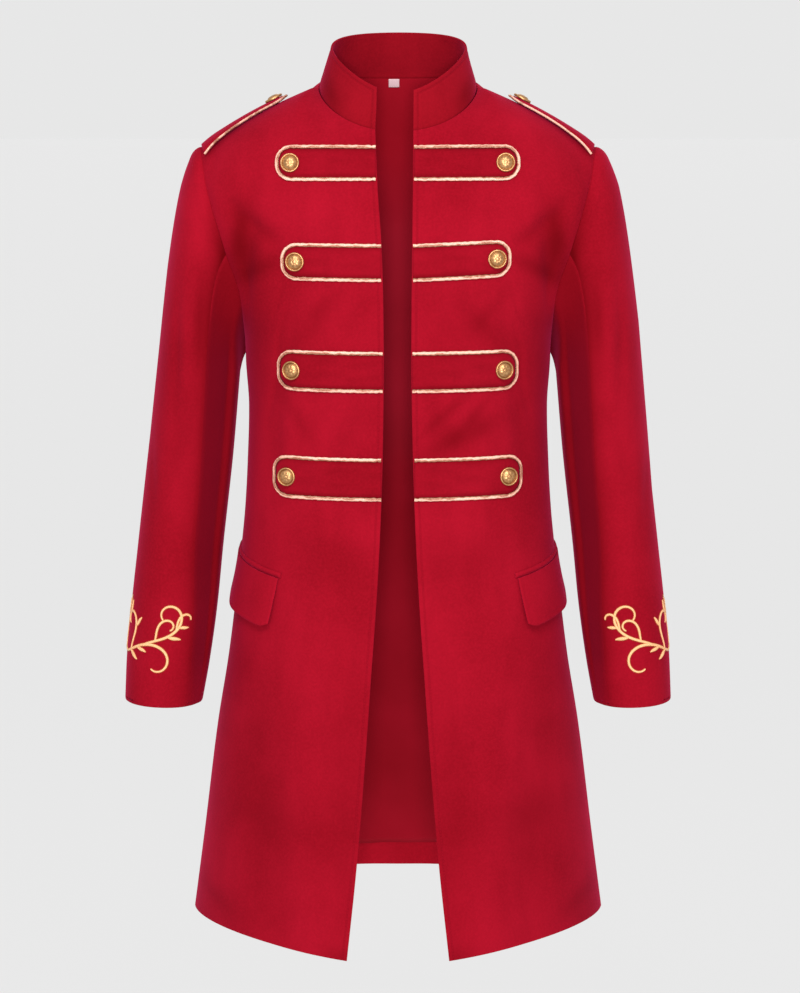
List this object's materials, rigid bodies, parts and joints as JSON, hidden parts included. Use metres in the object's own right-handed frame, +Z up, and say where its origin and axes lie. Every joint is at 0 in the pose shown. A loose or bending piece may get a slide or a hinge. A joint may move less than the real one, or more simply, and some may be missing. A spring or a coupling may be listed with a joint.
{
  "type": "military-style coat",
  "caption": "Knee-length red military-style frock coat worn open, with a stand collar, piped button straps across the fronts, shoulder straps, pocket flaps and embroidered cuffs",
  "frame": {"origin": "middle of the neck opening, level with the shoulder seams' ends at the neck, where the coat hangs on its wearer", "axes": "+Z up, the coat faces -Y, the wearer's right side at -X"},
  "size_m": [0.6176, 0.3345, 1.0064],
  "materials": {
    "wool": "brushed crimson wool with a short nap",
    "collar": "brushed wool, slightly darker",
    "lining": "wine satin",
    "piping": "pinkish gold metal-thread braid",
    "brass": "gilt",
    "label": "plain white woven"
  },
  "bodies": {
    "root": {"back": "wool", "back_lining": "lining", "collar": "collar", "left_button_1": "brass", "left_button_2": "brass", "left_button_3": "brass", "left_button_4": "brass", "left_epaulette": "wool", "left_epaulette_button": "brass", "left_epaulette_piping": "piping", "left_front": "wool", "left_piping_1": "piping", "left_piping_2": "piping", "left_piping_3": "piping", "left_piping_4": "piping", "left_pocket_flap": "wool", "left_pocket_welt": "wool", "left_strap_1": "wool", "left_strap_2": "wool", "left_strap_3": "wool", "left_strap_4": "wool", "left_under_sleeve": "wool", "left_upper_sleeve": "wool", "neck_label": "label", "right_button_1": "brass", "right_button_2": "brass", "right_button_3": "brass", "right_button_4": "brass", "right_epaulette": "wool", "right_epaulette_button": "brass", "right_epaulette_piping": "piping", "right_front": "wool", "right_piping_1": "piping", "right_piping_2": "piping", "right_piping_3": "piping", "right_piping_4": "piping", "right_pocket_flap": "wool", "right_pocket_welt": "wool", "right_strap_1": "wool", "right_strap_2": "wool", "right_strap_3": "wool", "right_strap_4": "wool", "right_under_sleeve": "wool", "right_upper_sleeve": "wool"}
  },
  "joints": []
}
